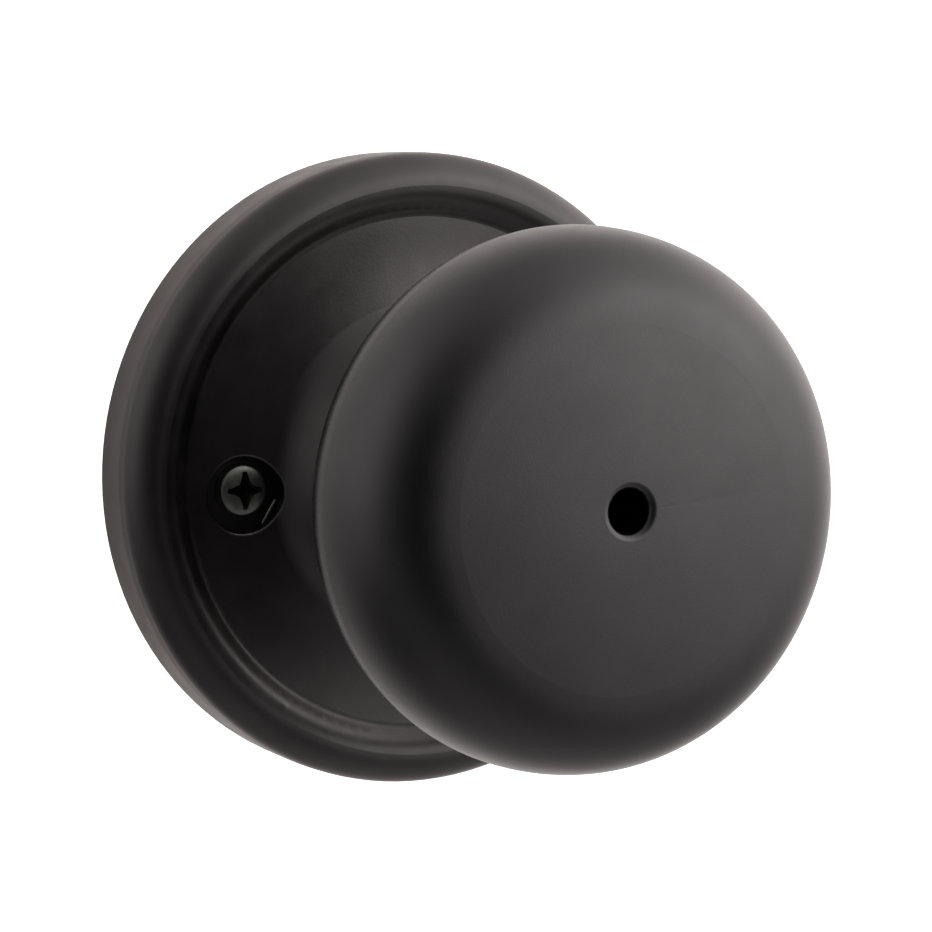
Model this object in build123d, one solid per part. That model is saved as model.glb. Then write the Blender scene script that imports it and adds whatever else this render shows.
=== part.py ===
from build123d import *
import os
from math import cos, radians, sin

# One half of a round privacy knob set, in millimetres. The finished part has +Z up, its door face on
# the plane y = 0 and the knob axis along -Y, out of the door. Every piece is drawn with the knob axis
# along its own +Z, height 0 at the door face, and turned to that frame when it is written.

# Rose
ROSE_R = 33.45            # outer radius
ROSE_BACK_R = 33.2        # radius at the door, the side wall being drafted
ROSE_SIDE_H = 5.2         # height where the draft ends
RIM_ROUND = 3.3           # radius of the rim's rounded outer edge
CREST_R = ROSE_R - RIM_ROUND
CREST_H = 9.8             # height of the rim's crest
CREST_EASE = 2.05         # how far the crest carries on inwards before it falls
VALLEY_R = 26.8           # foot of the rim on the inside
VALLEY_H = 8.2            # height of the domed field at its outer edge
VALLEY_EASE = 1.1         # how far out the foot of the rim levels off
FIELD_H = 9.35            # height of the field where the hub starts to flare
FIELD_SLOPE = 0.22        # slope of the field there
FLARE_R = 16.45           # radius where the field and the hub's flank would meet
FLARE_SLOPE = 1.5         # slope of the hub's flank
FLARE_EASE = 1.5          # how far the corner between them is eased on each side
HUB_RIM_H = 13.8          # height of the hub's rim, which stands round the neck
HUB_RIM_EASE = 0.4
HUB_RECESS_R = 12.0       # radius of the recess the neck turns in
HUB_H = 10.3              # floor of the recess, where the bushing's flange sits
HUB_BORE_R = 10.0         # hub bore, which holds the bushing
HUB_ROOT_R = 12.6         # the casting is hollow outside this radius
PLATE_T = 1.2             # thickness of the back plate
PLATE_R = 31.45
# Inner face of the rose behind the field and the rim, from the hub out to the plate
ROSE_CAVITY = ((HUB_ROOT_R, 7.2), (15.6, 6.9), (26.6, 6.0), (28.4, 6.4), (30.0, 7.6), (PLATE_R, 7.0))

# Mounting screws, 41.3 mm apart
SCREW_X = 20.65
SCREW_R = 1.75            # 3.5 mm machine screw
SCREW_HEAD_R = 2.65
SCREW_HEAD_H = 1.9
SCREW_SEAT_H = 7.0        # floor of the counterbore
SCREW_LENGTH = 25.0       # under the head
SCREW_NECK_R = 1.45       # plain neck above the thread
SCREW_THREAD_H = -1.8     # where the thread starts
SCREW_HOLE_R = 2.1
COUNTERBORE_R = 4.0
COUNTERBORE_EDGE = 0.35   # radius of the counterbore's worn edge
BOSS_R = 5.6
ROSE_HANG = 0.05          # the rose hangs a little on the screws, so its holes sit below their axes
DRIVE_TURN = -6.5         # how the cross recess happens to stand, degrees

# Knob
KNOB_R = 27.75            # largest radius
KNOB_R_H = 41.2           # height of the largest radius
FACE_R = 18.6             # radius of the gently domed face
FACE_H = 52.85            # height of the face at its edge
FACE_CROWN = 0.95         # how far the face is domed
SHOULDER_IN = 3.9         # how far the face's direction carries into the shoulder
SHOULDER_UP = 10.1        # how far the side's direction carries into the shoulder
BACK_CENTRE_R = 9.8       # centre of the elliptical back of the knob
BACK_DEPTH = 13.25        # its half axis along the knob axis
SHELL_T = 1.1             # thickness of the pressed shells
SEAM_ANGLE = -40.0        # where the two shells meet, degrees round the back ellipse
HEM_ANGLE = -20.0         # where the rear shell's tucked edge ends
SWEEP_ANGLE = -59.0       # where the back leaves the ellipse and sweeps into the neck
NECK_R = 11.4
NECK_TOP_H = 20.0
HOLE_R = 2.2              # release hole
HOLE_LIP = 0.8            # radius of its soft edge

# Shank and its bearing
SHANK_R = 8.0
SHANK_BORE_R = 6.0
SHANK_TOP_R = 9.4
SHANK_TOP_H = 26.0
SHANK_END_H = -13.2
SHANK_FLAT = 7.0          # half width over the two flats
COLLAR_LOW_H = 10.96
COLLAR_HIGH_H = 12.4
BUSHING_FLANGE_R = 11.6
BUSHING_FLANGE_T = 0.6
RUNNING = 0.05            # radial clearance of the turning and sliding fits

# Spring cage and what turns in it
CAGE_R = 15.4
CAGE_T = 1.0
CAGE_FLOOR_H = -9.0
CAGE_HALF_W = 16.4
CAGE_CORNER_R = 22.0
CAGE_HOLE_R = 8.3
TAB_HALF_ANGLE = 8.0
KNOB_TURN = 60.0          # the knob turns this far each way
RIVET_PITCH_R = 19.05
RIVET_R = 1.25
WIRE_R = 0.65
COIL_R = 10.2
COIL_PITCH = 1.45
CAM_HIGH_H = -0.6
CAM_T = 1.5
WASHER_T = 0.9
RING_GROOVE_R = 7.25
RING_T = 1.0

# Spindle and release
SPINDLE_R = 4.0
SPINDLE_TAIL_R = 3.7      # the part of the spindle inside the shank
SPINDLE_FLAT = 3.05       # distance of the flat from the axis
PLUG_LOW_H = -13.0
PLUG_HIGH_H = -4.5
SPINDLE_TOP_H = 12.0
SPINDLE_END_H = -46.0
ROD_R = 1.4
ROD_END_H = -44.0
GUIDE_R = 3.4
GUIDE_END_H = 22.0
HEAD_TOP_H = 36.0
HEAD_LOW_H = 30.0
CLIP_T = 0.7
RELEASE_WIRE_R = 0.3
RELEASE_COIL_R = 2.3
RELEASE_TURNS = 9


def turned(*edges):
    """Solid of revolution about the knob axis, from a closed outline of (radius, height) edges."""
    return revolve(Plane.XZ * make_face(edges), Axis.Z)


def outline(*points):
    """Solid of revolution from the corners of a closed outline, each (radius, height)."""
    return turned(Polyline(*points, close=True))


def ring(r_in, r_out, low, high):
    """Plain ring between two radii and two heights."""
    return outline((r_in, low), (r_out, low), (r_out, high), (r_in, high))


def disc(radius, low, high):
    """Plain cylinder between two heights."""
    return Pos(0, 0, low) * extrude(Circle(radius), high - low)


def sector(r_in, r_out, low, high, angle, half_angle):
    """Block of a ring, centred on an angle counted from 12 o'clock."""
    reach = 2 * r_out
    side = reach * sin(radians(half_angle))
    depth = reach * cos(radians(half_angle))
    wedge = make_face(Polyline((0, 0), (side, depth), (-side, depth), close=True))
    wedge = Pos(0, 0, low) * extrude(wedge, high - low)
    return ring(r_in, r_out, low, high) & Rot(0, 0, angle) * wedge


def at_screws(shape, drop=0.0):
    """Two copies of a shape, one on each screw axis."""
    return Pos(-SCREW_X, -drop, 0) * shape + Pos(SCREW_X, -drop, 0) * shape


def flats(low, high):
    """Block that cuts the two flats when it is intersected with a turned shape."""
    return Pos(0, 0, (low + high) / 2) * Box(2 * SHANK_FLAT, 4 * SHANK_R, high - low)


# ------------------------------------------------------------------ rose body

def rose():
    """Cast rose: drafted side wall, rounded rim, domed field flaring into the hub, and two screw bosses."""
    edge = CenterArc((CREST_R, CREST_H - RIM_ROUND), RIM_ROUND, 0, 90)
    fall = Bezier((CREST_R, CREST_H), (CREST_R - CREST_EASE, CREST_H), (VALLEY_R + VALLEY_EASE, VALLEY_H),
                  (VALLEY_R, VALLEY_H))
    root = eased_corner((FLARE_R, FIELD_H), FIELD_SLOPE, FLARE_SLOPE, FLARE_EASE)
    reach = (VALLEY_R - FLARE_R) / 3
    start = root @ 0
    field = Bezier((VALLEY_R, VALLEY_H), (VALLEY_R - reach, VALLEY_H),
                   (start.X + reach, start.Y - FIELD_SLOPE * reach), (start.X, start.Y))
    hub_r = FLARE_R - (HUB_RIM_H - FIELD_H) / FLARE_SLOPE
    hub_rim = eased_corner((hub_r, HUB_RIM_H), FLARE_SLOPE, 0, HUB_RIM_EASE)
    flare = Line(root @ 1, hub_rim @ 0)
    side = Polyline((PLATE_R, 0), (ROSE_BACK_R - 0.4, 0), (ROSE_BACK_R, 0.4), (ROSE_R, ROSE_SIDE_H), edge @ 0)
    inside = Polyline(hub_rim @ 1, (HUB_RECESS_R, HUB_RIM_H), (HUB_RECESS_R, HUB_H), (HUB_BORE_R, HUB_H),
                      (HUB_BORE_R, PLATE_T), (HUB_ROOT_R, PLATE_T), *ROSE_CAVITY, (PLATE_R, 0))
    body = turned(side, edge, fall, field, root, flare, hub_rim, inside)
    boss = disc(BOSS_R, PLATE_T, SCREW_SEAT_H)
    recess = disc(COUNTERBORE_R, SCREW_SEAT_H, HUB_RIM_H)
    hole = disc(SCREW_HOLE_R, 0, CREST_H)
    body += at_screws(boss, ROSE_HANG)
    body -= at_screws(recess, ROSE_HANG)
    body = fillet(counterbore_edges(body), COUNTERBORE_EDGE)
    return body - at_screws(hole, ROSE_HANG)


def eased_corner(corner, slope_before, slope_after, ease):
    """Smooth curve, running inwards, round the corner where two slopes meet; ease is its run on each side."""
    r, h = corner
    return Bezier((r + ease, h - slope_before * ease), corner, (r - ease, h + slope_after * ease))


def counterbore_edges(body):
    """The outer edges of the two counterbores."""
    edges = body.edges().filter_by(lambda e: e.center().Z > SCREW_SEAT_H + 0.5)
    return [e for e in edges if all(abs(abs(v.X) - SCREW_X) <= COUNTERBORE_R + 0.1 for v in (e @ 0, e @ 0.5))
            and e.length < 8 * COUNTERBORE_R and abs(e.center().Y) < COUNTERBORE_R]


def back_plate():
    """Pressed steel plate in the back of the rose, with a stiffening bead round its edge."""
    bead_low, bead_high, rise = 26.4, 28.8, 0.7
    plate = ring(HUB_BORE_R, PLATE_R, 0, PLATE_T)
    plate += outline((bead_low, PLATE_T), (bead_high, PLATE_T), (bead_high - 0.4, PLATE_T + rise),
                     (bead_low + 0.4, PLATE_T + rise))
    plate -= outline((bead_low + 0.3, 0), (bead_high - 0.3, 0), (bead_high - 0.7, rise), (bead_low + 0.7, rise))
    plate -= at_screws(disc(SCREW_HOLE_R + 0.3, 0, PLATE_T), ROSE_HANG)
    return plate - at_rivets(disc(RIVET_R, 0, PLATE_T))


def at_rivets(shape):
    """Four copies of a shape, one on each rivet axis."""
    return Compound([Rot(0, 0, turn) * Pos(RIVET_PITCH_R, 0, 0) * shape for turn in (45, 135, 225, 315)])


def hub_bushing():
    """Flanged bearing pressed through the hub and the back plate."""
    bore = SHANK_R + RUNNING
    flange_h = HUB_H + BUSHING_FLANGE_T
    return outline((bore, 0), (HUB_BORE_R, 0), (HUB_BORE_R, HUB_H), (BUSHING_FLANGE_R, HUB_H),
                   (BUSHING_FLANGE_R, flange_h - 0.2), (BUSHING_FLANGE_R - 0.2, flange_h),
                   (bore + 0.3, flange_h), (bore, flange_h - 0.3))


def spring_cage():
    """Pressed cup behind the plate: square flange, fixed spring tab and the two turning stops."""
    flange = Pos(0, 0, -CAGE_T / 2) * Box(2 * CAGE_HALF_W, 2 * CAGE_HALF_W, CAGE_T)
    flange &= disc(CAGE_CORNER_R, -CAGE_T, 0)
    cup = disc(CAGE_R, CAGE_FLOOR_H, 0)
    cup = fillet(cup.edges().group_by(Axis.Z)[0], 1.2)
    cage = flange + cup
    cage -= disc(CAGE_R - CAGE_T, CAGE_FLOOR_H + CAGE_T, 0)
    cage -= disc(CAGE_HOLE_R, CAGE_FLOOR_H, 0)
    cage -= at_rivets(disc(RIVET_R, -CAGE_T, 0))
    floor_h = CAGE_FLOOR_H + CAGE_T
    cage += sector(11.3, 12.2, floor_h, -3.2, 0, TAB_HALF_ANGLE)
    stop_angle = KNOB_TURN + TAB_HALF_ANGLE + 1.0 + 3.0
    for turn in (-stop_angle, stop_angle):
        cage += sector(12.7, CAGE_R - CAGE_T / 2, floor_h, -1.2, turn, 3.0)
    return cage


def cage_rivets():
    """Four rivets with domed heads behind the cage flange and upset heads in front of the plate."""
    back_h, upset_h = -CAGE_T, PLATE_T + 0.6
    head = EllipticalCenterArc((0, back_h), RIVET_R + 1.05, 1.1, 270, arc_size=90)
    stem = Polyline(head @ 1, (RIVET_R, back_h), (RIVET_R, PLATE_T), (RIVET_R + 0.7, PLATE_T),
                    (RIVET_R + 0.5, upset_h), (0, upset_h), head @ 0)
    return at_rivets(turned(head, stem))


def return_spring():
    """Torsion spring round the shank: a coil whose two legs straddle the fixed tab and the cam tab."""
    leg_angle = TAB_HALF_ANGLE + 3.5
    turns = 2 + 2 * leg_angle / 360
    start_h = CAGE_FLOOR_H + CAGE_T + WIRE_R + 0.1
    helix = Pos(0, 0, start_h) * Helix(COIL_PITCH, COIL_PITCH * turns, COIL_R)
    section = Plane(origin=helix @ 0, z_dir=helix % 0) * Circle(WIRE_R)
    spring = Rot(0, 0, 90 - leg_angle) * sweep(section, path=helix, is_frenet=True)
    reach = 13.7 - COIL_R
    leg = Pos(COIL_R + reach / 2, 0, 0) * Rot(0, 90, 0) * Cylinder(WIRE_R, reach)
    leg += Pos(COIL_R, 0, 0) * Sphere(WIRE_R)
    spring += Pos(0, 0, start_h) * Rot(0, 0, 90 - leg_angle) * leg
    spring += Pos(0, 0, start_h + COIL_PITCH * turns) * Rot(0, 0, 90 + leg_angle) * leg
    return spring


def mounting_screws():
    """Two pan-head machine screws with cross recesses."""
    seat, top, tip = SCREW_SEAT_H, SCREW_SEAT_H + SCREW_HEAD_H, SCREW_SEAT_H - SCREW_LENGTH
    crown = 0.75
    dome = EllipticalCenterArc((0, top - crown), SCREW_HEAD_R, crown, 0, arc_size=90)
    stem = Polyline(dome @ 1, (0, tip), (SCREW_R - 0.5, tip), (SCREW_R, tip + 0.6), (SCREW_R, SCREW_THREAD_H),
                    (SCREW_NECK_R, SCREW_THREAD_H + 0.3), (SCREW_NECK_R, seat), (SCREW_HEAD_R, seat), dome @ 0)
    screw = turned(dome, stem)
    arm_r, arm_w, depth = 2.05, 0.85, 1.35
    cross = Box(2 * arm_r, arm_w, 2 * depth) + Box(arm_w, 2 * arm_r, 2 * depth)
    taper = Pos(0, 0, -depth / 2) * Cone(0.55, arm_r, depth)
    drive = Pos(0, 0, top) * Rot(0, 0, DRIVE_TURN) * (cross & taper)
    return at_screws(screw - drive)


# ------------------------------------------------------------------ knob body

def back_arc(inset, start, end):
    """Stretch of the knob's back ellipse, moved in by an inset, between two angles."""
    return EllipticalCenterArc((BACK_CENTRE_R, KNOB_R_H), KNOB_R - BACK_CENTRE_R - inset,
                               BACK_DEPTH - inset, start, arc_size=end - start)


def shoulder_curve(inset, face_direction):
    """The shoulder between the knob's side and its face, moved in by an inset."""
    side = KNOB_R - inset
    top = FACE_H - inset
    pull = SHOULDER_IN - inset / 3
    return Bezier((side, KNOB_R_H), (side, KNOB_R_H + SHOULDER_UP - inset / 2),
                  (FACE_R + pull, top + pull * face_direction.Y / face_direction.X), (FACE_R, top))


def knob_shell():
    """Front shell: nearly flat face with the soft-edged release hole, shoulder and rolled back edge."""
    inner_face = FACE_H - SHELL_T
    lip_end = FACE_H - 2.1
    face_top = FACE_H + FACE_CROWN
    lip = ThreePointArc((HOLE_R, face_top - HOLE_LIP),
                        (HOLE_R + HOLE_LIP * (1 - cos(radians(45))), face_top - HOLE_LIP * (1 - sin(radians(45)))),
                        (HOLE_R + HOLE_LIP, face_top))
    crown = ThreePointArc((HOLE_R + HOLE_LIP, face_top), (FACE_R * 0.6, FACE_H + FACE_CROWN * 0.67),
                          (FACE_R, FACE_H))
    shoulder = shoulder_curve(0, crown % 1)
    back = back_arc(0, SEAM_ANGLE, 0)
    back_in = back_arc(SHELL_T, SEAM_ANGLE, 0)
    shoulder_in = shoulder_curve(SHELL_T, crown % 1)
    collar_r = HOLE_R + HOLE_LIP + 0.2
    inside = Polyline(shoulder_in @ 1, (collar_r, inner_face), (collar_r, lip_end), (HOLE_R, lip_end),
                      (HOLE_R, face_top - HOLE_LIP))
    return turned(lip, crown, shoulder, back, Line(back @ 0, back_in @ 0), back_in, shoulder_in, inside)


def knob_back():
    """Rear shell: elliptical back swept into the neck, with its outer edge tucked inside the front shell."""
    outer = back_arc(0, SWEEP_ANGLE, SEAM_ANGLE)
    inner = back_arc(SHELL_T, SWEEP_ANGLE, SEAM_ANGLE)
    neck_in = NECK_R - SHELL_T
    sweep_out = Spline((NECK_R, NECK_TOP_H), outer @ 0, tangents=[(0, 1), outer % 0])
    sweep_in = Spline((neck_in, NECK_TOP_H + 0.4), inner @ 0, tangents=[(0, 1), inner % 0])
    neck = Polyline((neck_in, NECK_TOP_H + 0.4), (neck_in, COLLAR_HIGH_H), (NECK_R, COLLAR_HIGH_H),
                    (NECK_R, NECK_TOP_H))
    shell = turned(neck, sweep_out, outer, Line(outer @ 1, inner @ 1), inner, sweep_in)
    hem_start = SEAM_ANGLE - 6.0
    hem_out = back_arc(SHELL_T, hem_start, HEM_ANGLE)
    hem_in = back_arc(2 * SHELL_T, hem_start, HEM_ANGLE)
    hem = turned(hem_out, Line(hem_out @ 1, hem_in @ 1), hem_in, Line(hem_in @ 0, hem_out @ 0))
    return shell + hem


def face_backing():
    """Stiffening disc welded behind the face, round the collar of the release hole."""
    high = FACE_H - SHELL_T
    return outline((HOLE_R + HOLE_LIP + 0.25, high - 1.5), (14.0, high - 1.5), (15.0, high - 0.6), (15.0, high),
                   (HOLE_R + HOLE_LIP + 0.25, high))


def release_guide():
    """Flanged tube behind the face that leads a release tool to the plunger and stops it coming out."""
    high = FACE_H - SHELL_T - 1.5
    mouth_r = GUIDE_R - 0.4
    shoulder_h = HEAD_TOP_H + 0.06
    return outline((mouth_r, high), (mouth_r, shoulder_h), (GUIDE_R, shoulder_h), (GUIDE_R, GUIDE_END_H),
                   (4.6, GUIDE_END_H), (4.6, high - 1.2), (8.5, high - 1.2), (8.5, high))


def hub_insert():
    """Cast insert that fills the neck and joins the rear shell to the shank."""
    neck_in = NECK_R - SHELL_T
    sleeve = outline((SHANK_TOP_R, COLLAR_HIGH_H), (neck_in, COLLAR_HIGH_H), (neck_in, NECK_TOP_H),
                     (SHANK_TOP_R + 0.6, NECK_TOP_H + 1.0), (SHANK_TOP_R + 0.6, 26.8), (12.4, 27.6), (12.4, 29.4),
                     (SHANK_BORE_R, 29.4), (SHANK_BORE_R, SHANK_TOP_H), (SHANK_TOP_R, SHANK_TOP_H))
    return sleeve - neck_pin()


def neck_pin():
    """Pin from below that locks the insert to the shank."""
    length = 4.1
    return Pos(0, -(SHANK_BORE_R + 0.1 + length / 2), 16.0) * Rot(90, 0, 0) * Cylinder(1.0, length)


def shank():
    """Turned tube: top in the insert, thrust collar, bearing length, flats and the ring groove."""
    ring_high = CAGE_FLOOR_H - 0.06 - 2 * WASHER_T
    body = outline((SHANK_BORE_R, SHANK_END_H), (SHANK_R - 0.4, SHANK_END_H), (SHANK_R, SHANK_END_H + 0.4),
                   (SHANK_R, COLLAR_LOW_H), (NECK_R, COLLAR_LOW_H), (NECK_R, COLLAR_HIGH_H),
                   (SHANK_TOP_R, COLLAR_HIGH_H), (SHANK_TOP_R, SHANK_TOP_H), (SHANK_BORE_R, SHANK_TOP_H))
    tail = body & flats(SHANK_END_H, CAM_HIGH_H)
    body = (body - disc(2 * NECK_R, SHANK_END_H, CAM_HIGH_H)) + tail
    body -= ring(RING_GROOVE_R, 2 * SHANK_R, ring_high - RING_T, ring_high)
    return body - neck_pin() - plug_pin()


def drive_cam():
    """Plate keyed to the shank's flats, with an arm bent back as the tab that pushes the spring legs."""
    low = CAM_HIGH_H - CAM_T
    bore = disc(SHANK_R, low, CAM_HIGH_H) & flats(low, CAM_HIGH_H)
    plate = disc(11.0, low, CAM_HIGH_H) + sector(9.0, 13.6, low, CAM_HIGH_H, 0, TAB_HALF_ANGLE)
    tab = sector(12.6, 13.6, CAGE_FLOOR_H + CAGE_T + 0.2, CAM_HIGH_H, 0, TAB_HALF_ANGLE)
    return plate + tab - bore


def cage_washer():
    """Flat thrust washer behind the cage floor."""
    high = CAGE_FLOOR_H - 0.06
    return ring(SHANK_R, 12.5, high - WASHER_T, high)


def cone_washer():
    """Conical spring washer that takes up the end play."""
    high = CAGE_FLOOR_H - 0.06 - WASHER_T
    low = high - WASHER_T
    return outline((SHANK_R, low), (SHANK_R + 0.8, low), (11.4, high - 0.5), (11.4, high), (10.6, high),
                   (SHANK_R, low + 0.5))


def retaining_ring():
    """External circlip with two eyes, its gap at the bottom."""
    high = CAGE_FLOOR_H - 0.06 - 2 * WASHER_T
    low = high - RING_T
    clip = ring(RING_GROOVE_R, 9.6, low, high) - sector(6.0, 11.0, low, high, 180, 26.0)
    for turn in (180 - 31, 180 + 31):
        eye = Pos(0, 9.9, 0) * (disc(1.5, low, high) - disc(0.6, low, high))
        clip += Rot(0, 0, turn) * eye
        clip -= Rot(0, 0, turn) * Pos(0, 9.9, 0) * disc(0.6, low, high)
    return clip - disc(RING_GROOVE_R, low, high)


def spindle_bar(radius, flat, low, high):
    """Bar of D section, its flat on top."""
    bar = disc(radius, low, high)
    return bar - Pos(0, flat + radius, (low + high) / 2) * Box(4 * radius, 2 * radius, high - low)


def drive_plug():
    """Plug in the end of the shank, with the D hole that turns the spindle."""
    plug = disc(SHANK_BORE_R, PLUG_LOW_H, PLUG_HIGH_H)
    return plug - spindle_bar(SPINDLE_TAIL_R, SPINDLE_FLAT, PLUG_LOW_H, PLUG_HIGH_H) - plug_pin()


def plug_pin():
    """Pin from one side that locks the plug in the shank, clear of the spindle."""
    inner, outer = SPINDLE_TAIL_R + 0.5, SHANK_R - 0.1
    return Pos(0, -(inner + outer) / 2, -6.4) * Rot(90, 0, 0) * Cylinder(0.9, outer - inner)


def spindle():
    """D-section spindle that works the latch, bored right through for the release rod."""
    bar = outline((ROD_R + RUNNING, SPINDLE_END_H), (SPINDLE_R - 0.8, SPINDLE_END_H),
                  (SPINDLE_R, SPINDLE_END_H + 1.0), (SPINDLE_R, PLUG_LOW_H), (SPINDLE_TAIL_R, PLUG_LOW_H),
                  (SPINDLE_TAIL_R, SPINDLE_TOP_H), (ROD_R + RUNNING, SPINDLE_TOP_H))
    return bar & spindle_bar(2 * SPINDLE_R, SPINDLE_FLAT, SPINDLE_END_H, SPINDLE_TOP_H)


# ------------------------------------------------------------------ release body

def release_head():
    """Plunger head that slides in the guide, with a conical dimple that centres the release tool."""
    radius = GUIDE_R - RUNNING
    return outline((ROD_R, HEAD_LOW_H), (radius, HEAD_LOW_H), (radius, HEAD_TOP_H - 0.3), (radius - 0.3, HEAD_TOP_H),
                   (2.2, HEAD_TOP_H), (ROD_R, HEAD_TOP_H - 1.2))


def release_rod():
    """Thin rod through the spindle that reaches the button of the other half."""
    groove_h = HEAD_LOW_H - CLIP_T
    top = HEAD_TOP_H - 1.2
    return outline((0, ROD_END_H), (ROD_R - 0.4, ROD_END_H), (ROD_R, ROD_END_H + 0.4), (ROD_R, groove_h),
                   (ROD_R - 0.35, groove_h), (ROD_R - 0.35, HEAD_LOW_H), (ROD_R, HEAD_LOW_H), (ROD_R, top), (0, top))


def release_clip():
    """E clip on the rod behind the head, which is the spring's seat."""
    low = HEAD_LOW_H - CLIP_T
    clip = ring(ROD_R - 0.35, 3.0, low, HEAD_LOW_H)
    mouth = Pos(0, -2.0, (low + HEAD_LOW_H) / 2) * Box(1.8, 4.0, CLIP_T)
    notches = ring(ROD_R, 2.2, low, HEAD_LOW_H) - sector(1.0, 2.6, low, HEAD_LOW_H, 0, 12)
    notches -= sector(1.0, 2.6, low, HEAD_LOW_H, 115, 14) + sector(1.0, 2.6, low, HEAD_LOW_H, 245, 14)
    return clip - mouth - notches


def release_spring():
    """Compression spring round the rod, from the end of the spindle to the clip."""
    low = SPINDLE_TOP_H + RELEASE_WIRE_R
    length = HEAD_LOW_H - CLIP_T - RELEASE_WIRE_R - low
    helix = Pos(0, 0, low) * Helix(length / RELEASE_TURNS, length, RELEASE_COIL_R)
    section = Plane(origin=helix @ 0, z_dir=helix % 0) * Circle(RELEASE_WIRE_R)
    coil = sweep(section, path=helix, is_frenet=True)
    end = Solid.make_torus(RELEASE_COIL_R, RELEASE_WIRE_R)
    return coil + Pos(0, 0, low) * end + Pos(0, 0, low + length) * end


PIECES = {
    "rose": rose,
    "back_plate": back_plate,
    "hub_bushing": hub_bushing,
    "spring_cage": spring_cage,
    "cage_rivets": cage_rivets,
    "return_spring": return_spring,
    "mounting_screws": mounting_screws,
    "knob_shell": knob_shell,
    "knob_back": knob_back,
    "face_backing": face_backing,
    "release_guide": release_guide,
    "hub_insert": hub_insert,
    "neck_pin": neck_pin,
    "shank": shank,
    "drive_cam": drive_cam,
    "cage_washer": cage_washer,
    "cone_washer": cone_washer,
    "retaining_ring": retaining_ring,
    "drive_plug": drive_plug,
    "plug_pin": plug_pin,
    "spindle": spindle,
    "release_head": release_head,
    "release_rod": release_rod,
    "release_clip": release_clip,
    "release_spring": release_spring,
}

os.makedirs("parts", exist_ok=True)
for name, make in PIECES.items():
    piece = Rot(90, 0, 0) * make()
    export_step(piece, f"parts/{name}.step")
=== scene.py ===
from math import cos, pi, radians, sin, tau

import bmesh
import bpy
from mathutils import Matrix, Vector


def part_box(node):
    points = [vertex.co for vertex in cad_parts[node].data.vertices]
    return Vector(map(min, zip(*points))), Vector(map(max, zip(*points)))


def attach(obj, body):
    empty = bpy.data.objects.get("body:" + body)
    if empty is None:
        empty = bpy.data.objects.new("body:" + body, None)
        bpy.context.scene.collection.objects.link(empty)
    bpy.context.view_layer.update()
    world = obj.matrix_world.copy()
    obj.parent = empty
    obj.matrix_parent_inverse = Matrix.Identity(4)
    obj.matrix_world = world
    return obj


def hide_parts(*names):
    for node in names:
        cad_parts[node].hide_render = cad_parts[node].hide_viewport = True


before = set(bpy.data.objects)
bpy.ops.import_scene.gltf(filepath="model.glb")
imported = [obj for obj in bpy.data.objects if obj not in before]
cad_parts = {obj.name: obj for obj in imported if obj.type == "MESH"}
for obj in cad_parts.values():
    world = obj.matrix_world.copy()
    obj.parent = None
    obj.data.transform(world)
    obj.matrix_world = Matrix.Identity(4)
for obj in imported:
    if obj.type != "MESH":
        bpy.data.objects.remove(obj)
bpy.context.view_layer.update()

MM = 0.001

# The camera stands in front of the knob, to its left and a little above it.
CAMERA_AZIMUTH = -27.3       # degrees
CAMERA_ELEVATION = 7.98
CAMERA_ROLL = radians(-4.0)
CAMERA_DISTANCE = 0.630
CAMERA_RIGHT = 0.00876       # how far the camera is moved over, along its own right
CAMERA_UP = -0.00036
CAMERA_LENS = 227.7
CAMERA_SENSOR = 36.0

# Surround: the level of the room, its darkest spot, and soft panels (negative ones are dark cloths)
# as azimuth, elevation, sharpness and strength. A fitting script gave the room's and the panels' numbers.
ROOM_LEVEL = 0.489
ROOM_DARKEST = 0.02
ROOM_TINT = (1.0, 0.985, 0.98, 1.0)
PANELS = (
    (41.7, 8.6, 11.50, 1.113),
    (46.6, 42.0, 3.30, 0.556),
    (96.3, 11.4, 6.49, 1.128),
    (156.5, -2.0, 3.03, 0.607),
    (-122.5, -1.4, 2.20, -0.877),
    (9.3, 18.0, 1.00, -0.568),
    (242.5, 12.7, 3.51, 0.933),
)
FLOOR_SIZE = 60.0
FLOOR_DROP = -0.45
FLOOR_TONE = 0.9
WHITE = (1.0, 1.0, 1.0)

# Finishes
NOISE_LOW, NOISE_HIGH = 0.3, 0.7     # the span that most of a noise texture's values lie in
# The rose is coloured darker towards the door face; these set how much
DOOR_DARKENING_TONE = 0.4           # tone of the darkening towards the door, as a share of the metal's own
DOOR_DARKENING_PATCH = 2.5 * MM
DOOR_DARKENING_LEAST = 0.9            # the darkening where it is faintest
WEAR_PATCH = 1.2 * MM
WEAR_SPAN = (0.35, 0.6)      # noise values between which the rubbing goes from faint to full
WEAR_FAINT = 0.15
WEAR_BRIGHT = 1.6            # tone of a rubbed edge, where no colour is given for it
WEAR_POLISH = 0.2            # how much smoother a rubbed edge is
GLOSS_SHARE = 0.4            # size of the patches in the gloss, as a share of the mottle
GLOSS_SPREAD = 0.1
BUMP_STRENGTH = 0.6
RING_SCALE = 0.3142          # scale of the ring texture for rings one metre apart
RING_WOBBLE = 1.5

# Mounting screws
SCREW_HEAD_R = 2.65 * MM
SCREW_LIFT = 0.45 * MM       # how far the left one stands above its CAD axis, and the right one below
SCREW_HEAD_H = 1.9 * MM
SCREW_CROWN = 0.75 * MM      # height of the head's domed top
SCREW_R = 1.75 * MM
SCREW_NECK_R = 1.45 * MM
SCREW_NECK = 8.8 * MM        # plain length under the head
THREAD_PITCH = 0.7 * MM
THREAD_DEPTH = 0.38 * MM
THREAD_ROWS = 8              # rows of points in each turn
THREAD_TIP = 0.8 * MM        # length of the tapered point
TIP_TAPER = 0.3 * MM         # how far the point tapers
THREAD_STEEP = 1.3           # the thread's form is a V, made steeper and cut flat at crest and root
THREAD_ROOT = 0.12
NECK_FLARE = 0.12 * MM       # how far the neck spreads under the head
NECK_FLARE_H = 0.15 * MM
HEAD_EASE = 0.12 * MM        # rounding of the head's lower edge
HEAD_EASE_H = 0.1 * MM
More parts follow.
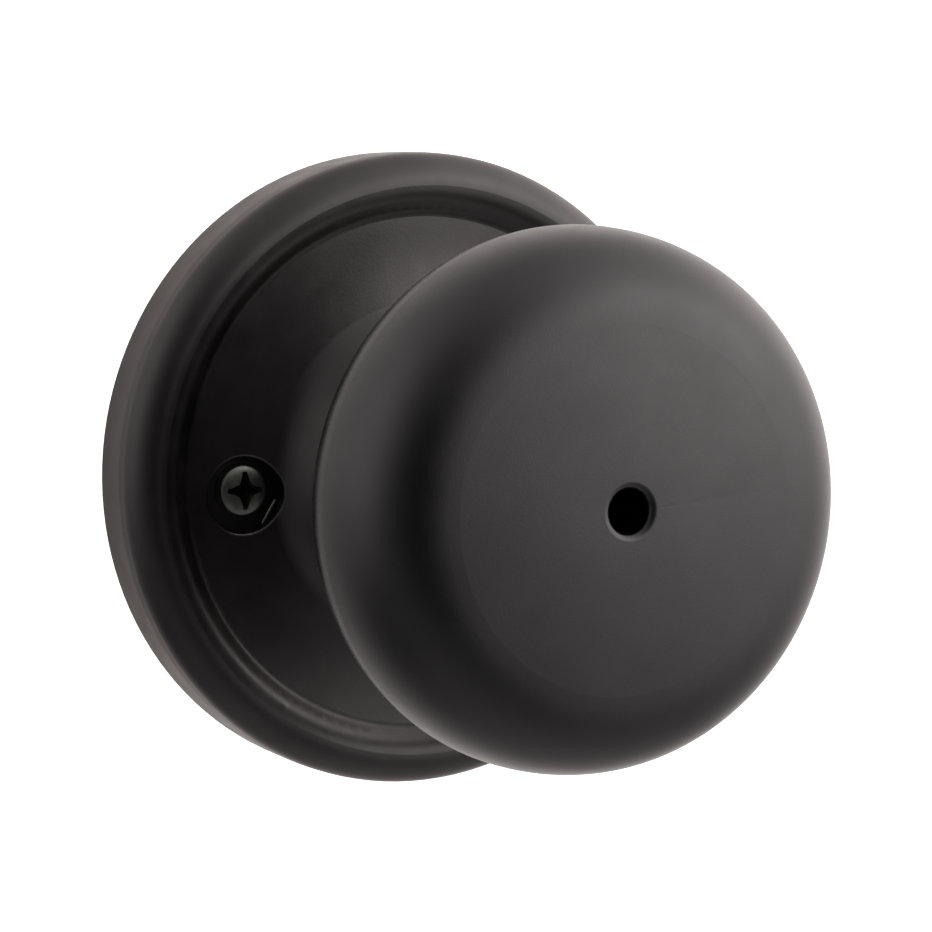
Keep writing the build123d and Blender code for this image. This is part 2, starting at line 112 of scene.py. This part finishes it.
CROWN_STEPS = 12
POLE_RISE = 0.01 * MM        # how far the middle of the crown stands above its last ring
SCREW_BEVEL = 0.05 * MM
BEVEL_ANGLE = radians(40)
SCREW_SIDES = 64
DRIVE_R = 2.15 * MM          # reach of the cross recess
DRIVE_WAIST_R = 0.98 * MM    # radius where its arms meet
DRIVE_TIP = 0.26 * MM        # half width of an arm at its tip
DRIVE_FLANK_R = 1.36 * MM    # radius half way along an arm's flank
DRIVE_FLANK_TURN = 0.33      # and its turn from the middle of the arm
DRIVE_DEPTH = 2.0 * MM
DRIVE_FLOOR = 0.42           # size of its floor as a share of its mouth
DRIVE_OVER = 0.4 * MM        # how far the cutter stands above the head
DRIVE_MOUTH = 1.1            # its size there
DRIVE_BEND_DEPTH = 0.7 * MM  # depth where the walls turn steeper
DRIVE_BEND = 0.78            # its size there
DRIVE_TURN = radians(-4.0)

# Painted glint: a thin bright sliver across the lower right of the counterbore, standing in for a highlight
# there
SLIVER_BORE_R = 3.8 * MM
SLIVER_ENDS = (radians(-60.0), radians(-14.0))
SLIVER_DROP = 0.9 * MM       # how far it lies below the field of the rose
SLIVER_R = 0.14 * MM
SLIVER_FLAT = 0.6            # its thickness as a share of its width
SLIVER_END = 0.35            # its width at the ends, as a share of the middle
SLIVER_SWELL = 0.35          # how soon it reaches its full width
SLIVER_SIDES = 10
SLIVER_STATIONS = 12
FIELD_H = 9.05 * MM


def direction(azimuth, elevation):
    """Unit vector towards an azimuth, counted from -Y towards +X, and an elevation, in degrees."""
    a, e = radians(azimuth), radians(elevation)
    return Vector((sin(a) * cos(e), -cos(a) * cos(e), sin(e)))


# ------------------------------------------------------------------ camera, light and floor

def add_camera():
    """Camera at the view of the photograph."""
    back = direction(CAMERA_AZIMUTH, CAMERA_ELEVATION)
    level_right = direction(CAMERA_AZIMUTH + 90.0, 0.0)
    level_up = back.cross(level_right)
    right = level_right * cos(CAMERA_ROLL) + level_up * sin(CAMERA_ROLL)
    up = level_up * cos(CAMERA_ROLL) - level_right * sin(CAMERA_ROLL)
    data = bpy.data.cameras.new("camera")
    data.lens, data.sensor_width = CAMERA_LENS, CAMERA_SENSOR
    data.clip_start, data.clip_end = 0.01, 100.0
    camera = bpy.data.objects.new("camera", data)
    place = back * CAMERA_DISTANCE + right * CAMERA_RIGHT + up * CAMERA_UP
    turn = Matrix((right, up, back)).transposed().to_4x4()
    camera.matrix_world = Matrix.Translation(place) @ turn
    bpy.context.scene.collection.objects.link(camera)
    bpy.context.scene.camera = camera


def add_world():
    """Soft studio surround: a grey room with broad pale panels on the right and a dark camera side."""
    world = bpy.data.worlds.new("studio")
    world.use_nodes = True
    tree = world.node_tree
    tree.nodes.clear()
    coords = tree.nodes.new("ShaderNodeTexCoord")
    total = ROOM_LEVEL
    for azimuth, elevation, sharpness, strength in PANELS:
        dot = tree.nodes.new("ShaderNodeVectorMath")
        dot.operation = "DOT_PRODUCT"
        dot.inputs[1].default_value = direction(azimuth, elevation)
        tree.links.new(coords.outputs["Generated"], dot.inputs[0])
        scaled = math_node(tree, "MULTIPLY_ADD", dot.outputs["Value"], sharpness, -sharpness)
        panel = math_node(tree, "EXPONENT", scaled)
        total = math_node(tree, "MULTIPLY_ADD", panel, strength, total)
    total = math_node(tree, "MAXIMUM", total, ROOM_DARKEST)
    background = tree.nodes.new("ShaderNodeBackground")
    background.inputs["Color"].default_value = ROOM_TINT
    tree.links.new(total, background.inputs["Strength"])
    out = tree.nodes.new("ShaderNodeOutputWorld")
    tree.links.new(background.outputs[0], out.inputs["Surface"])
    bpy.context.scene.world = world


def math_node(tree, operation, *values):
    """Math node whose inputs are sockets or numbers; returns its output."""
    node = tree.nodes.new("ShaderNodeMath")
    node.operation = operation
    for socket, value in zip(node.inputs, values):
        if isinstance(value, (int, float)):
            socket.default_value = value
        else:
            tree.links.new(value, socket)
    return node.outputs[0]


def add_floor():
    """Plain pale floor, well below the knob, which hangs on a door and not on it."""
    bpy.ops.mesh.primitive_plane_add(size=FLOOR_SIZE, location=(0.0, 0.0, FLOOR_DROP))
    floor = bpy.context.object
    floor.name = "floor"
    material = bpy.data.materials.new("floor")
    material.use_nodes = True
    shader = material.node_tree.nodes["Principled BSDF"]
    shader.inputs["Base Color"].default_value = (FLOOR_TONE, FLOOR_TONE, FLOOR_TONE, 1.0)
    shader.inputs["Roughness"].default_value = 0.9
    shader.inputs["Emission Color"].default_value = (*WHITE, 1.0)
    shader.inputs["Emission Strength"].default_value = 1.0
    floor.data.materials.append(material)
    floor.visible_glossy = False
    floor.visible_diffuse = False
    floor.visible_shadow = False


# ------------------------------------------------------------------ materials

def noise(tree, size, detail=3.0):
    """Noise over the object with features of the given size in metres; returns its strength."""
    coords = tree.nodes.new("ShaderNodeTexCoord")
    texture = tree.nodes.new("ShaderNodeTexNoise")
    texture.inputs["Scale"].default_value = 1.0 / size
    texture.inputs["Detail"].default_value = detail
    tree.links.new(coords.outputs["Object"], texture.inputs["Vector"])
    return texture.outputs["Fac"]


def turning_marks(tree, pitch):
    """Fine rings round the knob's axis, as a lathe tool leaves them; returns their height."""
    coords = tree.nodes.new("ShaderNodeTexCoord")
    rings = tree.nodes.new("ShaderNodeTexWave")
    rings.wave_type = "RINGS"
    rings.rings_direction = "Y"
    rings.inputs["Scale"].default_value = RING_SCALE / pitch
    rings.inputs["Distortion"].default_value = RING_WOBBLE
    rings.inputs["Detail"].default_value = 2.0
    tree.links.new(coords.outputs["Object"], rings.inputs["Vector"])
    return rings.outputs["Fac"]


def map_range(tree, value, low, high, to_low, to_high):
    """Map Range node; returns its result."""
    node = tree.nodes.new("ShaderNodeMapRange")
    for socket, number in zip(node.inputs[1:5], (low, high, to_low, to_high)):
        socket.default_value = number
    tree.links.new(value, node.inputs[0])
    return node.outputs["Result"]


def darkening_towards_door(tree, depth):
    """Mask of the darkening towards the door: 1 at the door face, 0 at the given height."""
    coords = tree.nodes.new("ShaderNodeTexCoord")
    place = tree.nodes.new("ShaderNodeSeparateXYZ")
    tree.links.new(coords.outputs["Object"], place.inputs[0])
    fade = map_range(tree, place.outputs["Y"], -depth, 0.0, 0.0, 1.0)
    patches = map_range(tree, noise(tree, DOOR_DARKENING_PATCH), NOISE_LOW, NOISE_HIGH, DOOR_DARKENING_LEAST, 1.0)
    return math_node(tree, "MULTIPLY", fade, patches)


def blend_colour(tree, mask, colour, over):
    """Puts a colour over another one where a mask is 1; returns the result."""
    mix = tree.nodes.new("ShaderNodeMix")
    mix.data_type = "RGBA"
    factor, base, top = mix.inputs[0], mix.inputs[6], mix.inputs[7]      # the sockets of a colour mix
    top.default_value = (*over, 1.0)
    tree.links.new(mask, factor)
    tree.links.new(colour, base)
    return mix.outputs[2]


def edge_wear(tree, start, full):
    """Mask of the rubbed outer edges, broken up by noise."""
    geometry = tree.nodes.new("ShaderNodeNewGeometry")
    edges = map_range(tree, geometry.outputs["Pointiness"], start, full, 0.0, 1.0)
    patches = map_range(tree, noise(tree, WEAR_PATCH), *WEAR_SPAN, WEAR_FAINT, 1.0)
    return math_node(tree, "MULTIPLY", edges, patches)


def finish(name, colour, rough, vary=0.12, metallic=1.0, mottle=6.0, grain=0.15, grain_depth=0.01,
           marks=0.0, worn=None, wear=(0.53, 0.62), edge_tint=WHITE, door_darkening=0.0):
    """Finish with a mottled colour, uneven gloss, a fine grain or turning marks, and rubbed edges.

    Sizes are in mm: mottle and grain are how big their features are, grain_depth how deep the grain is,
    and marks the pitch of the turning marks. worn is the colour of a rubbed edge, and the last argument
    the height in mm over which the colour darkens towards the door.
    """
    material = bpy.data.materials.new(name)
    material.use_nodes = True
    tree = material.node_tree
    shader = tree.nodes["Principled BSDF"]
    cloud = noise(tree, mottle * MM)
    ramp = tree.nodes.new("ShaderNodeValToRGB")
    stops = ((NOISE_LOW, 1.0 - vary), (NOISE_HIGH, 1.0 + vary))
    for stop, (place, level) in zip(ramp.color_ramp.elements, stops):
        stop.position = place
        stop.color = (*[c * level for c in colour], 1.0)
    tree.links.new(cloud, ramp.inputs["Fac"])
    wear_mask = edge_wear(tree, *wear)
    tone = ramp.outputs["Color"]
    # Colour made darker towards the door face, over the given height
    if door_darkening:
        tone = blend_colour(tree, darkening_towards_door(tree, door_darkening * MM), tone, [c * DOOR_DARKENING_TONE for c in colour])
    tone = blend_colour(tree, wear_mask, tone, worn or [min(1.0, c * WEAR_BRIGHT) for c in colour])
    tree.links.new(tone, shader.inputs["Base Color"])
    shader.inputs["Metallic"].default_value = metallic
    shader.inputs["Specular Tint"].default_value = (*edge_tint, 1.0)
    gloss = map_range(tree, noise(tree, GLOSS_SHARE * mottle * MM), NOISE_LOW, NOISE_HIGH,
                      rough * (1.0 - GLOSS_SPREAD), rough * (1.0 + GLOSS_SPREAD))
    gloss = math_node(tree, "MULTIPLY_ADD", wear_mask, -WEAR_POLISH * rough, gloss)
    tree.links.new(gloss, shader.inputs["Roughness"])
    bump = tree.nodes.new("ShaderNodeBump")
    bump.inputs["Strength"].default_value = BUMP_STRENGTH
    bump.inputs["Distance"].default_value = grain_depth * MM
    height = turning_marks(tree, marks * MM) if marks else noise(tree, grain * MM, 2.0)
    tree.links.new(height, bump.inputs["Height"])
    tree.links.new(bump.outputs["Normal"], shader.inputs["Normal"])
    return material


def dress(material, *nodes):
    """Gives CAD nodes their material."""
    for node in nodes:
        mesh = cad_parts[node].data
        mesh.materials.clear()
        mesh.materials.append(material)


# ------------------------------------------------------------------ screws

def thread_height(phase):
    """Height of the thread, 0 at the root and 1 at the crest, at a phase of its pitch."""
    vee = 1.0 - abs(2.0 * (phase % 1.0) - 1.0)
    return min(1.0, max(0.0, THREAD_STEEP * vee - THREAD_ROOT))


def screw_outline(length):
    """Rows of the screw as height above its tip, radius and depth of thread, from tip to crown."""
    rows = [(0.0, SCREW_R - THREAD_DEPTH - TIP_TAPER, 0.0)]
    thread_top = length - SCREW_HEAD_H - SCREW_NECK
    count = round(thread_top / THREAD_PITCH * THREAD_ROWS)
    for k in range(1, count + 1):
        height = thread_top * k / count
        taper = min(1.0, height / THREAD_TIP)
        run_out = min(1.0, (thread_top - height) / THREAD_PITCH)
        radius = SCREW_R - TIP_TAPER * (1.0 - taper) - (SCREW_R - SCREW_NECK_R) * (1.0 - run_out)
        rows.append((height, radius, THREAD_DEPTH * taper * run_out))
    seat = length - SCREW_HEAD_H
    rows += [(seat - NECK_FLARE_H, SCREW_NECK_R, 0.0), (seat, SCREW_NECK_R + NECK_FLARE, 0.0)]
    rows += [(seat, SCREW_HEAD_R - HEAD_EASE, 0.0), (seat + HEAD_EASE_H, SCREW_HEAD_R, 0.0)]
    for step in range(CROWN_STEPS):
        angle = step * pi / (2 * CROWN_STEPS)
        rows.append((length - SCREW_CROWN * (1.0 - sin(angle)), SCREW_HEAD_R * cos(angle), 0.0))
    return rows


def join_rings(mesh, rings, smooth):
    """Adds the faces between rings of the same number of points."""
    for low, high in zip(rings, rings[1:]):
        for k in range(len(low)):
            n = (k + 1) % len(low)
            mesh.faces.new((low[k], low[n], high[n], high[k])).smooth = smooth


def revolve(mesh, rows, place):
    """Adds a closed turned body to a mesh; place gives the world point of a radius, turn and height."""
    rings = []
    for height, radius, depth in rows:
        ring = []
        for k in range(SCREW_SIDES):
            turn = tau * k / SCREW_SIDES
            groove = depth * (1.0 - thread_height(height / THREAD_PITCH + turn / tau))
            ring.append(mesh.verts.new(place(radius - groove, turn, height)))
        rings.append(ring)
    join_rings(mesh, rings, smooth=True)
    for ring, height in ((rings[0], rows[0][0]), (rings[-1], rows[-1][0] + POLE_RISE)):
        pole = mesh.verts.new(place(0.0, 0.0, height))
        for k in range(SCREW_SIDES):
            mesh.faces.new((ring[k], ring[(k + 1) % SCREW_SIDES], pole)).smooth = True
    bmesh.ops.recalc_face_normals(mesh, faces=mesh.faces[:])


def drive_ring(size):
    """Points round the cross recess as radius and turn: four blunt arms with hollow flanks between them."""
    ring = []
    for arm in range(4):
        middle = DRIVE_TURN + arm * tau / 4
        tip = DRIVE_TIP / DRIVE_R
        ring += [(DRIVE_R * size, middle - tip), (DRIVE_R * size, middle + tip)]
        ring += [(DRIVE_FLANK_R * size, middle + DRIVE_FLANK_TURN), (DRIVE_WAIST_R * size, middle + tau / 8),
                 (DRIVE_FLANK_R * size, middle + tau / 4 - DRIVE_FLANK_TURN)]
    return ring


def drive_cutter(mesh, top, place):
    """Adds the solid of the cross recess to a mesh, from above the head down to its floor."""
    levels = ((top + DRIVE_OVER, DRIVE_MOUTH), (top, 1.0), (top - DRIVE_BEND_DEPTH, DRIVE_BEND),
              (top - DRIVE_DEPTH, DRIVE_FLOOR))
    rings = [[mesh.verts.new(place(r, t, height)) for r, t in drive_ring(size)] for height, size in levels]
    join_rings(mesh, rings, smooth=False)
    mesh.faces.new(rings[0])
    mesh.faces.new(rings[-1])
    bmesh.ops.recalc_face_normals(mesh, faces=mesh.faces[:])


def new_object(name, mesh, material):
    """Object made of a bmesh, with one material."""
    data = bpy.data.meshes.new(name)
    mesh.to_mesh(data)
    mesh.free()
    data.materials.append(material)
    piece = bpy.data.objects.new(name, data)
    bpy.context.scene.collection.objects.link(piece)
    return piece


def add_screw(name, centre_x, centre_z, metal, near_black_recess):
    """Machine screw with a rolled thread and a cross recess coloured near-black."""
    low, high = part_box("mounting_screws")
    tip_h, top_h = -high[1], -low[1]

    def place(radius, turn, height):
        return Vector((centre_x + radius * cos(turn), -(tip_h + height), centre_z + radius * sin(turn)))

    body, recess = bmesh.new(), bmesh.new()
    revolve(body, screw_outline(top_h - tip_h), place)
    drive_cutter(recess, top_h - tip_h, place)
    screw = new_object(name, body, metal)
    cutter = new_object(name + "_recess", recess, near_black_recess)
    cut = screw.modifiers.new("recess", "BOOLEAN")
    cut.object = cutter
    cut.operation = "DIFFERENCE"
    cut.solver = "EXACT"
    cut.material_mode = "TRANSFER"
    shaped = bpy.data.meshes.new_from_object(screw.evaluated_get(bpy.context.evaluated_depsgraph_get()))
    screw.modifiers.clear()
    screw.data = shaped
    bpy.data.objects.remove(cutter)
    bevel = screw.modifiers.new("worn edges", "BEVEL")
    bevel.width = SCREW_BEVEL
    bevel.segments = 2
    bevel.limit_method = "ANGLE"
    bevel.angle_limit = BEVEL_ANGLE
    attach(screw, "rose_body")
    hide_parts("mounting_screws")


def add_glint_sliver(centre_x, centre_z, material):
    """Thin bright sliver that lies across the counterbore, from wall to wall, tapered at its ends: a painted
    glint.
    """
    ends = [Vector((centre_x + SLIVER_BORE_R * cos(turn), SLIVER_DROP - FIELD_H,
                    centre_z + SLIVER_BORE_R * sin(turn))) for turn in SLIVER_ENDS]
    along = ends[1] - ends[0]
    across = along.normalized().cross(Vector((0.0, 1.0, 0.0)))
    mesh = bmesh.new()
    rings = []
    for station in range(SLIVER_STATIONS + 1):
        share = station / SLIVER_STATIONS
        radius = SLIVER_R * (SLIVER_END + (1.0 - SLIVER_END) * sin(pi * share) ** SLIVER_SWELL)
        middle = ends[0] + along * share
        ring = []
        for k in range(SLIVER_SIDES):
            turn = tau * k / SLIVER_SIDES
            outward = Vector((0.0, SLIVER_FLAT * radius * sin(turn), 0.0))
            ring.append(mesh.verts.new(middle + across * radius * cos(turn) + outward))
        rings.append(ring)
    join_rings(mesh, rings, smooth=True)
    mesh.faces.new(rings[0])
    mesh.faces.new(rings[-1])
    bmesh.ops.recalc_face_normals(mesh, faces=mesh.faces[:])
    sliver = new_object("counterbore_glint_sliver", mesh, material)
    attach(sliver, "rose_body")


add_camera()
add_world()
add_floor()
bpy.context.scene.view_settings.view_transform = "Standard"

# The rose is coloured darker towards the door face, up to 9.5 mm from it
rose_bronze = finish("rose_bronze", (0.130, 0.120, 0.121), 0.32, vary=0.06, grain=0.22, grain_depth=0.012,
                     worn=(0.21, 0.19, 0.18), wear=(0.56, 0.70), edge_tint=(1.0, 0.95, 0.92), door_darkening=9.5)
knob_bronze = finish("knob_bronze", (0.117, 0.111, 0.113), 0.28, vary=0.05, mottle=9.0, grain=0.22,
                     grain_depth=0.010, worn=(0.20, 0.18, 0.175), wear=(0.57, 0.72),
                     edge_tint=(1.0, 0.96, 0.94))
screw_metal = finish("screw_steel", (0.27, 0.285, 0.25), 0.40, vary=0.22, mottle=0.9, grain=0.12,
                     grain_depth=0.02, worn=(0.42, 0.42, 0.38), wear=(0.51, 0.60))
# Near-black colour of the screws' cross recesses
near_black_recess = finish("recess_near_black", (0.006, 0.006, 0.005), 0.75, metallic=0.0, mottle=0.5, grain=0.1,
               grain_depth=0.03, worn=(0.02, 0.02, 0.018))
# Pale bright colour of the counterbore sliver: a painted glint
painted_glint_metal = finish("painted_glint_metal", (0.62, 0.62, 0.58), 0.42, mottle=0.6, grain=0.08)

dress(rose_bronze, "rose")
dress(knob_bronze, "knob_shell", "knob_back")
dress(finish("zinc_plate", (0.56, 0.55, 0.50), 0.34, mottle=5.0, grain=0.3, worn=(0.66, 0.66, 0.64)),
      "back_plate", "spring_cage", "face_backing")
dress(finish("bearing_plastic", (0.028, 0.028, 0.029), 0.48, metallic=0.0, mottle=2.0, grain=0.12,
             worn=(0.06, 0.06, 0.06)), "hub_bushing")
dress(finish("rivet_steel", (0.52, 0.52, 0.50), 0.32, mottle=1.2, grain=0.1), "cage_rivets")
dress(finish("spring_steel", (0.20, 0.20, 0.21), 0.30, mottle=1.5, grain=0.08), "return_spring",
      "cone_washer", "retaining_ring", "release_spring", "release_clip")
# Brass release guide and head with turning marks; their near-black colour is painted shade down the release
# hole
dress(finish("turned_brass", (0.030, 0.026, 0.022), 0.45, mottle=4.0, marks=0.12, worn=(0.12, 0.09, 0.05)),
      "release_guide", "release_head")
dress(finish("cast_zinc", (0.38, 0.38, 0.39), 0.46, mottle=3.0, grain=0.35, grain_depth=0.03),
      "hub_insert", "drive_plug")
dress(finish("pin_steel", (0.50, 0.50, 0.50), 0.25, mottle=2.0, grain=0.1), "neck_pin", "plug_pin",
      "release_rod")
dress(finish("turned_steel", (0.54, 0.54, 0.51), 0.28, mottle=5.0, marks=0.15), "shank", "spindle")
dress(finish("cam_steel", (0.42, 0.42, 0.41), 0.38, mottle=2.5, grain=0.2), "drive_cam")
dress(finish("washer_brass", (0.64, 0.47, 0.24), 0.33, mottle=3.0, grain=0.15), "cage_washer")

SCREW_LOW, SCREW_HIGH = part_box("mounting_screws")
SCREW_X = SCREW_HIGH[0] - SCREW_HEAD_R
BORE_Z = (SCREW_LOW[2] + SCREW_HIGH[2]) / 2
for side, name in ((-1, "screw_left"), (1, "screw_right")):
    add_screw(name, side * SCREW_X, BORE_Z - side * SCREW_LIFT, screw_metal, near_black_recess)
# The painted glint lies in the left screw's counterbore
add_glint_sliver(-SCREW_X, BORE_Z, painted_glint_metal)
